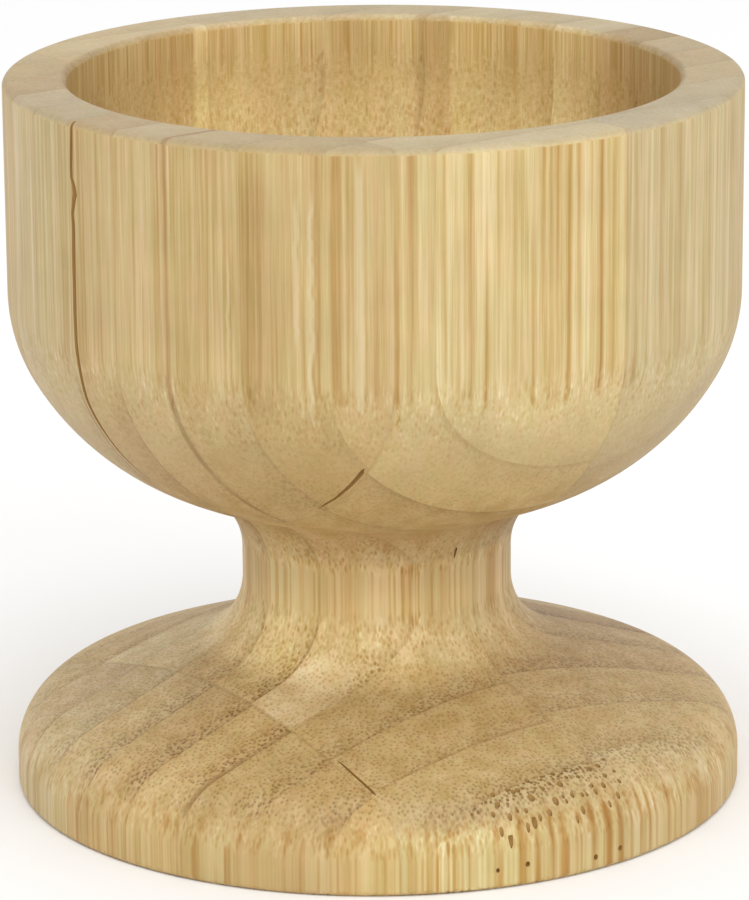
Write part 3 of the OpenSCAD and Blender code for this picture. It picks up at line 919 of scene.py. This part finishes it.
def glue_lines(w, cup, at):
    """Darkness of the glue at the front of the lath and at its joints with the next board."""
    line = w.attribute("line")
    from_line = w.math("ABSOLUTE", w.math("SUBTRACT", at.across, w.attribute("front_line")))
    edge = w.math("MULTIPLY_ADD", w.math("MAXIMUM", w.math("SUBTRACT", line, 1.0), 0.0), 0.6, 0.30)
    glue = w.product(w.ramp(from_line, 0.08, edge, 0.9, 0.0), w.math("MINIMUM", line, 1.0),
                     w.ramp(at.broken, 0.0, 1.0, 0.3, 1.0, smooth=False))
    on_foot_top = w.math("MULTIPLY", w.ramp(at.height, 11.0, 13.0, 1.0, 0.0),
                         w.ramp(at.radius, 21.0, 22.5, 1.0, 0.0))
    for joint, darker in ((-cup.left_joint, 0.12), (cup.board_width - cup.left_joint, 0.05)):
        from_joint = w.math("ABSOLUTE", w.math("SUBTRACT", at.along, joint / MM))
        strength = w.math("MULTIPLY_ADD", on_foot_top, darker, 0.2)
        at_joint = w.math("MULTIPLY", w.ramp(from_joint, 0.04, 0.20, 1.0, 0.0), strength)
        glue = w.math("MAXIMUM", glue, at_joint)
    uneven = w.ramp(w.noise(at.block, 0.35), 0.35, 0.65, 0.55, 1.0)
    return w.math("MULTIPLY", glue, uneven)


def bamboo(name, wood, cup, finish):
    """Solid bamboo that follows the block: bundles of fibre upright along Z, laths side by side."""
    material = bpy.data.materials.new(name)
    material.use_nodes = True
    tree = material.node_tree
    tree.nodes.clear()
    w = Wiring(tree)
    at = wood_place(w, cup)
    grain = wood_grain(w, cup, at)
    bundles = fibre_bundles(w, at, grain)
    coloured = toned_by_place(w, at, ground_colour(w, at, grain, wood))
    coloured = with_bundles(w, at, coloured, bundles, finish)
    coloured = with_shreds(w, at, coloured, finish)
    coloured = with_streaks(w, cup, at, grain, coloured, finish)
    coloured = w.mix(glue_lines(w, cup, at), coloured, finish.glue)
    coloured = w.mix(w.attribute("opened"), coloured, finish.opening)
    relief = w.math("SUBTRACT", grain.fine, w.math("MULTIPLY", bundles, 0.8))
    bump = w.node("ShaderNodeBump", {"Strength": 0.6, "Distance": finish.relief, "Height": relief})
    rough = w.ramp(grain.fine, 0.3, 0.7, finish.roughness - 0.06, finish.roughness + 0.06, smooth=False)
    surface = w.node("ShaderNodeBsdfPrincipled", {
        "Base Color": coloured, "Normal": bump.outputs[0], "Roughness": rough,
        "Specular IOR Level": 0.45})
    w.node("ShaderNodeOutputMaterial", {"Surface": surface.outputs[0]})
    return material


# Cracks, pores and pits, all cut out of the laths as real openings

# Each station of a crack: its height or its distance from the axis, how far the crack wanders
# sideways there, and how wide it is, in millimetres
Station = namedtuple("Station", "at aside width")
WALL_CRACK = [Station(*row) for row in (
    (24.9, -0.72, 0.05), (25.8, -0.56, 0.13), (26.8, -0.42, 0.16), (28.2, -0.38, 0.20),
    (29.6, -0.34, 0.28), (31.0, -0.30, 0.30), (32.4, -0.40, 0.30), (33.8, -0.42, 0.32),
    (35.2, -0.30, 0.36), (37.0, -0.25, 0.38), (39.0, -0.27, 0.36), (41.0, -0.27, 0.40),
    (42.6, -0.32, 0.38), (43.6, -0.25, 0.30), (44.2, -0.38, 0.38), (44.9, -0.55, 0.48),
    (45.5, -0.46, 0.40), (46.0, -0.22, 0.30), (46.8, -0.21, 0.30), (47.9, -0.27, 0.32),
    (49.1, -0.34, 0.28),
)]
BELLY_CRACK = [Station(*row) for row in (
    (19.6, -0.46, 0.06), (20.1, -0.50, 0.20), (20.6, -0.42, 0.22), (21.15, -0.42, 0.26),
    (21.7, -0.38, 0.30), (22.2, -0.36, 0.34), (22.6, -0.34, 0.36), (22.8, -0.33, 0.10),
)]
FOOT_CRACK = [Station(*row) for row in (
    (19.2, 0.42, 0.04), (19.8, 0.42, 0.15), (20.8, 0.38, 0.17), (21.6, 0.36, 0.19),
    (22.2, 0.34, 0.20), (22.5, 0.33, 0.05),
)]

# How far the cracks' blanks reach out of the skin, so that they cut clean
CRACK_OVERRUN = 0.4 * MM


def skin_point(outline, low, high, axis, value):
    """Where the outline, between two heights, reaches a radius (axis 0) or a height (axis 1), and
    its normal there."""
    for a, b in zip(outline, outline[1:]):
        in_reach = low <= min(a.y, b.y) and max(a.y, b.y) <= high
        if in_reach and min(a[axis], b[axis]) <= value <= max(a[axis], b[axis]):
            way = (b - a).normalized()
            return a.lerp(b, (value - a[axis]) / (b[axis] - a[axis])), Vector((way.y, -way.x))
    raise ValueError(f"the outline doesn't reach {value}")


def crack_rings(cup, stations, low, high, axis, line=None, joint=None, deep=0.4):
    """Sections, of four points each, of a wedge that opens the skin along a glue line or a joint."""
    outline = cup_outline(cup)
    from_block = Matrix.Rotation(cup.block_turn, 3, "Z")
    depth, over = deep * MM, CRACK_OVERRUN
    rings = []
    for station in stations:
        point, normal = skin_point(outline, low, high, axis, station.at * MM)
        aside, inner = station.aside * MM, station.width * MM / 5
        half = inner + (station.width * MM / 2 - inner) * (depth + over) / depth
        if line is not None:
            across = line + aside
            along, side = -math.sqrt(point.x ** 2 - across ** 2), Vector((0, 1, 0))
        else:
            along = joint + aside
            across, side = -math.sqrt(point.x ** 2 - along ** 2), Vector((1, 0, 0))
        centre = Vector((along, across, point.y))
        out = Vector((normal.x * along / point.x, normal.x * across / point.x, normal.y))
        upper, under = centre + over * out, centre - depth * out
        corners = (upper + half * side, upper - half * side, under - inner * side, under + inner * side)
        rings.append([from_block @ corner for corner in corners])
    return rings


def add_wedge(bm, rings):
    """Adds the closed wedge through sections of four points each."""
    rings = [[bm.verts.new(p) for p in ring] for ring in rings]
    bm.faces.new(rings[0][::-1])
    bm.faces.new(rings[-1])
    for lower, upper in zip(rings, rings[1:]):
        for i in range(4):
            j = (i + 1) % 4
            bm.faces.new((lower[i], lower[j], upper[j], upper[i]))


# Pits on the foot's edge and on the stem: azimuth in degrees, height, width and length, and the
# depth of all of them, in millimetres
Pit = namedtuple("Pit", "azimuth height width length")
PITS = (
    Pit(-67.2, 1.50, 0.34, 0.40), Pit(-55.3, 1.00, 0.36, 0.42), Pit(-50.5, 1.15, 0.38, 0.42),
    Pit(-72.0, 1.35, 0.26, 0.34), Pit(-56.4, 18.2, 0.20, 1.10),
)
PIT_DEPTH = 0.3


def add_pits(bm, cup):
    outline = cup_outline(cup)
    below_rim = CUP_TOP - cup.rim_rounding
    for pit in PITS:
        point, _ = skin_point(outline, cup.foot_rounding, below_rim, 1, pit.height * MM)
        turn = math.radians(pit.azimuth)
        centre = Vector((point.x * math.cos(turn), point.x * math.sin(turn), point.y))
        place = Matrix.Translation(centre) @ Matrix.Rotation(turn, 4, "Z")
        size = Matrix.Diagonal((PIT_DEPTH * MM, pit.width * MM / 2, pit.length * MM / 2, 1.0))
        bmesh.ops.create_icosphere(bm, subdivisions=2, radius=1.0, matrix=place @ size)


def pore_tree():
    """Turned form in, upright tapered pores out, sunk into its surface over a field of the block."""
    tree = bpy.data.node_groups.new("Open pores", "GeometryNodeTree")
    add_sockets(tree, "INPUT", "Geometry", "Turned form")
    add_sockets(tree, "INPUT", "Vector", "Field middle", "Field size")
    add_sockets(tree, "INPUT", "Float", "Spacing", "Pore radius", "Pore depth", "Share kept", "Block turn")
    add_sockets(tree, "INPUT", "Int", "Seed")
    add_sockets(tree, "INPUT", "Material", "Wood")
    add_sockets(tree, "OUTPUT", "Geometry", "Pores")
    w = Wiring(tree)
    given = w.node("NodeGroupInput").outputs
    size = w.split(given["Field size"])
    field = w.node("GeometryNodeMeshGrid", inputs={
        "Size X": size[0], "Size Y": size[1], "Vertices X": 2, "Vertices Y": 2})
    closest = w.math("DIVIDE", 2.0, w.math("MULTIPLY", given["Spacing"], given["Spacing"]))
    scattered = w.node("GeometryNodeDistributePointsOnFaces", distribute_method="POISSON", inputs={
        "Mesh": field.outputs["Mesh"], "Distance Min": given["Spacing"], "Density Max": closest,
        "Seed": given["Seed"]})
    set_up = w.node("GeometryNodeTransform", inputs={
        "Geometry": scattered.outputs["Points"], "Translation": given["Field middle"]})
    turned = w.node("GeometryNodeTransform", inputs={
        "Geometry": set_up.outputs[0], "Rotation": w.combine(0.0, 0.0, given["Block turn"])})
    hit = w.node("GeometryNodeRaycast", inputs={
        "Target Geometry": given["Turned form"], "Ray Direction": (0.0, 0.0, -1.0), "Ray Length": 0.02})
    landed = w.node("GeometryNodeSetPosition", inputs={
        "Geometry": turned.outputs[0], "Position": hit.outputs["Hit Position"]})
    chosen = w.node("FunctionNodeRandomValue", data_type="BOOLEAN", inputs={
        "Probability": given["Share kept"], "Seed": w.math("ADD", given["Seed"], 1.0)})
    kept = w.node("FunctionNodeBooleanMath", operation="AND", inputs={
        0: hit.outputs["Is Hit"], 1: chosen.outputs[3]})
    pore = w.node("GeometryNodeMeshCone", inputs={
        "Vertices": 8, "Radius Top": w.math("MULTIPLY", given["Pore radius"], 1.2),
        "Radius Bottom": w.math("MULTIPLY", given["Pore radius"], 0.5),
        "Depth": w.math("MULTIPLY", given["Pore depth"], 2.0)})
    sunk = w.node("GeometryNodeTransform", inputs={
        "Geometry": pore.outputs["Mesh"],
        "Translation": w.combine(0.0, 0.0, w.math("MULTIPLY", given["Pore depth"], -1.0))})
    width = w.node("FunctionNodeRandomValue", data_type="FLOAT", inputs={
        2: 0.6, 3: 1.15, "Seed": w.math("ADD", given["Seed"], 2.0)}).outputs[1]
    pores = w.node("GeometryNodeInstanceOnPoints", inputs={
        "Points": landed.outputs[0], "Selection": kept.outputs[0], "Instance": sunk.outputs[0],
        "Scale": w.combine(width, width, 1.0)})
    real = w.node("GeometryNodeRealizeInstances", inputs={"Geometry": pores.outputs[0]})
    painted = w.node("GeometryNodeSetMaterial", inputs={
        "Geometry": real.outputs[0], "Material": given["Wood"]})
    w.node("NodeGroupOutput", inputs={"Pores": painted.outputs[0]})
    return tree


# Fields of open pores on the foot, in millimetres in the block's directions, with the share of
# pores that are kept and the seed of their places
PoreField = namedtuple("PoreField", "middle size spacing radius kept seed")
PORE_FIELDS = (
    PoreField((-2.0, -23.0), (8.8, 2.2), 0.60, 0.240, 0.98, 3),
    PoreField((-7.0, -22.7), (2.2, 1.8), 0.60, 0.200, 0.85, 8),
    PoreField((-3.2, -24.25), (9.4, 1.0), 0.62, 0.175, 0.85, 5),
)
PORE_DEPTH = 0.42


def openings(cup):
    """Object with every crack, pit and pore as a closed solid, to be cut out of the laths."""
    made = bpy.data.objects.get("openings")
    if made:
        return made
    form = bpy.data.meshes.get("turned_form") or turned_form(cup)
    parting, below_rim = cup_parting(cup), CUP_TOP - cup.rim_rounding
    line = line_place(cup, "left", 0)
    bm = bmesh.new()
    wall_rings = crack_rings(cup, WALL_CRACK, parting, below_rim, 1, line=line)
    lift = Vector((0, 0, 2 * MM))
    add_wedge(bm, wall_rings + [[corner + lift for corner in wall_rings[-1]]])
    add_wedge(bm, crack_rings(cup, BELLY_CRACK, parting, below_rim, 0, joint=-cup.left_joint))
    add_wedge(bm, crack_rings(cup, FOOT_CRACK, cup.foot_edge_height, parting, 0,
                              joint=-cup.left_joint, deep=0.3))
    add_pits(bm, cup)
    tree = pore_tree()
    for field in PORE_FIELDS:
        pores = finished_mesh("pores", form, tree, {
            "Field middle": Vector((*field.middle, parting / MM)) * MM,
            "Field size": Vector((*field.size, 0.0)) * MM, "Spacing": field.spacing * MM,
            "Pore radius": field.radius * MM, "Pore depth": PORE_DEPTH * MM,
            "Share kept": field.kept, "Block turn": cup.block_turn, "Seed": field.seed})
        bm.from_mesh(pores.data)
        bpy.data.objects.remove(pores)
    bmesh.ops.recalc_face_normals(bm, faces=bm.faces)
    mesh = bpy.data.meshes.new("openings")
    bm.to_mesh(mesh)
    bm.free()
    return bpy.data.objects.new("openings", mesh)


# Operators

def cut_laths(context, piece):
    """Cuts each lath of this kind out of the turned form and puts it in its CAD node's place."""
    cup, finish = context.scene.egg_cup, context.scene.egg_cup_finish
    laths = all_laths()
    tree = bpy.data.node_groups.get("Turned lath") or lath_tree()
    form = bpy.data.meshes.get("turned_form") or turned_form(cup)
    holes = openings(cup)
    slots = {s["node"]: s["material_slot"] for s in frame["record"]["subparts"]}
    woods = {"bamboo_pale": finish.pale, "bamboo_mid": finish.mid, "bamboo_dark": finish.dark}
    of_kind = [lath for lath in laths if lath.piece == piece]
    if not of_kind:
        raise RuntimeError(f"the frame holds no {piece} laths")
    for lath in of_kind:
        slot = slots[lath.node]
        wood_name = f"{slot}_grain"
        wood = bpy.data.materials.get(wood_name) or bamboo(wood_name, woods[slot], cup, finish)
        low, high = lath_corners(cup, lath, laths)
        made = finished_mesh(f"bamboo_{lath.node}", form, tree, {
            "Low corner": low, "High corner": high, "Block turn": cup.block_turn, "Openings": holes,
            "Wood": wood})
        paint_lath(made.data, cup, lath)
        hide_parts(lath.node)
        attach(made, BODY)
    return {"FINISHED"}


class EGGCUP_OT_core_laths(bpy.types.Operator):
    """Cuts the laths that run unbroken from the bowl to the foot"""

    bl_idname = "egg_cup.core_laths"
    bl_label = "Core Laths"

    def execute(self, context):
        return cut_laths(context, "core")


class EGGCUP_OT_bowl_laths(bpy.types.Operator):
    """Cuts the laths that end in the bowl"""

    bl_idname = "egg_cup.bowl_laths"
    bl_label = "Bowl Laths"

    def execute(self, context):
        return cut_laths(context, "bowl")


class EGGCUP_OT_foot_laths(bpy.types.Operator):
    """Cuts the laths that end in the foot"""

    bl_idname = "egg_cup.foot_laths"
    bl_label = "Foot Laths"

    def execute(self, context):
        return cut_laths(context, "foot")


# The soft lights: where each hangs, what it points at and how wide it is, in metres
SoftLight = namedtuple("SoftLight", "name place aim width")
KEY_LIGHT = SoftLight("key", Vector((0.25, -0.55, 0.45)), Vector((0.0, 0.0, 0.025)), 0.5)
TOP_LIGHT = SoftLight("top", Vector((0.02, -0.22, 0.72)), Vector((0.0, 0.01, 0.03)), 0.45)


def hang_light(soft, watts):
    light = bpy.data.lights.new(soft.name, "AREA")
    light.shape = "DISK"
    light.size = soft.width
    light.energy = watts
    lamp = bpy.data.objects.new(soft.name, light)
    lamp.location = soft.place
    lamp.rotation_euler = (soft.aim - soft.place).to_track_quat("-Z", "Y").to_euler()
    bpy.context.scene.collection.objects.link(lamp)


def floor_material():
    material = bpy.data.materials.new("pale_floor")
    material.use_nodes = True
    surface = material.node_tree.nodes["Principled BSDF"]
    surface.inputs["Base Color"].default_value = (0.93, 0.93, 0.93, 1.0)
    surface.inputs["Roughness"].default_value = 0.9
    return material


class EGGCUP_OT_stage(bpy.types.Operator):
    """Lays the pale floor, hangs the soft lights and sets up the camera"""

    bl_idname = "egg_cup.stage"
    bl_label = "Studio"

    def execute(self, context):
        studio, scene = context.scene.egg_cup_studio, context.scene
        scene.view_settings.view_transform = "Standard"
        half = studio.floor_size / 2
        corners = [(-half, -half, 0), (half, -half, 0), (half, half, 0), (-half, half, 0)]
        mesh = bpy.data.meshes.new("floor")
        mesh.from_pydata(corners, [], [(0, 1, 2, 3)])
        mesh.materials.append(floor_material())
        floor = bpy.data.objects.new("floor", mesh)
        scene.collection.objects.link(floor)
        world = bpy.data.worlds.new("studio")
        world.use_nodes = True
        sky = world.node_tree.nodes["Background"].inputs
        sky["Color"].default_value = (1.0, 1.0, 1.0, 1.0)
        sky["Strength"].default_value = studio.sky
        scene.world = world
        hang_light(KEY_LIGHT, studio.key_watts)
        hang_light(TOP_LIGHT, studio.top_watts)
        camera = bpy.data.objects.new("camera", bpy.data.cameras.new("camera"))
        camera.data.lens = studio.focal_length
        camera.data.sensor_width = 36.0
        camera.data.clip_start = 0.01
        lean = studio.camera_elevation
        back = Vector((0.0, -math.cos(lean), math.sin(lean)))
        camera.location = Vector(studio.camera_aim) + studio.camera_distance * back
        view = (-back).to_track_quat("-Z", "Y").to_matrix().to_4x4()
        camera.rotation_euler = (view @ Matrix.Rotation(-studio.camera_roll, 4, "Z")).to_euler()
        scene.collection.objects.link(camera)
        scene.camera = camera
        return {"FINISHED"}


class EGGCUP_PT_sidebar(bpy.types.Panel):
    """Lists the operators that build the cup and its studio"""

    bl_idname = "EGGCUP_PT_sidebar"
    bl_label = "Egg Cup"
    bl_space_type = "VIEW_3D"
    bl_region_type = "UI"
    bl_category = "Egg Cup"

    def draw(self, context):
        for step in STEPS:
            self.layout.operator(step.bl_idname)
        for group in (context.scene.egg_cup, context.scene.egg_cup_finish, context.scene.egg_cup_studio):
            for name in group.bl_rna.properties.keys():
                if name not in ("rna_type", "name"):
                    self.layout.prop(group, name)


STEPS = (EGGCUP_OT_stage, EGGCUP_OT_core_laths, EGGCUP_OT_bowl_laths, EGGCUP_OT_foot_laths)
GROUPS = (CupSizes, BambooFinish, StudioSetup)


def register():
    for item in (*GROUPS, *STEPS, EGGCUP_PT_sidebar):
        bpy.utils.register_class(item)
    bpy.types.Scene.egg_cup = bpy.props.PointerProperty(type=CupSizes)
    bpy.types.Scene.egg_cup_finish = bpy.props.PointerProperty(type=BambooFinish)
    bpy.types.Scene.egg_cup_studio = bpy.props.PointerProperty(type=StudioSetup)


def unregister():
    del bpy.types.Scene.egg_cup_studio
    del bpy.types.Scene.egg_cup_finish
    del bpy.types.Scene.egg_cup
    for item in reversed((*GROUPS, *STEPS, EGGCUP_PT_sidebar)):
        bpy.utils.unregister_class(item)


def main():
    register()
    bpy.ops.egg_cup.stage()
    bpy.ops.egg_cup.core_laths()
    bpy.ops.egg_cup.bowl_laths()
    bpy.ops.egg_cup.foot_laths()


if __name__ == "__main__":
    main()
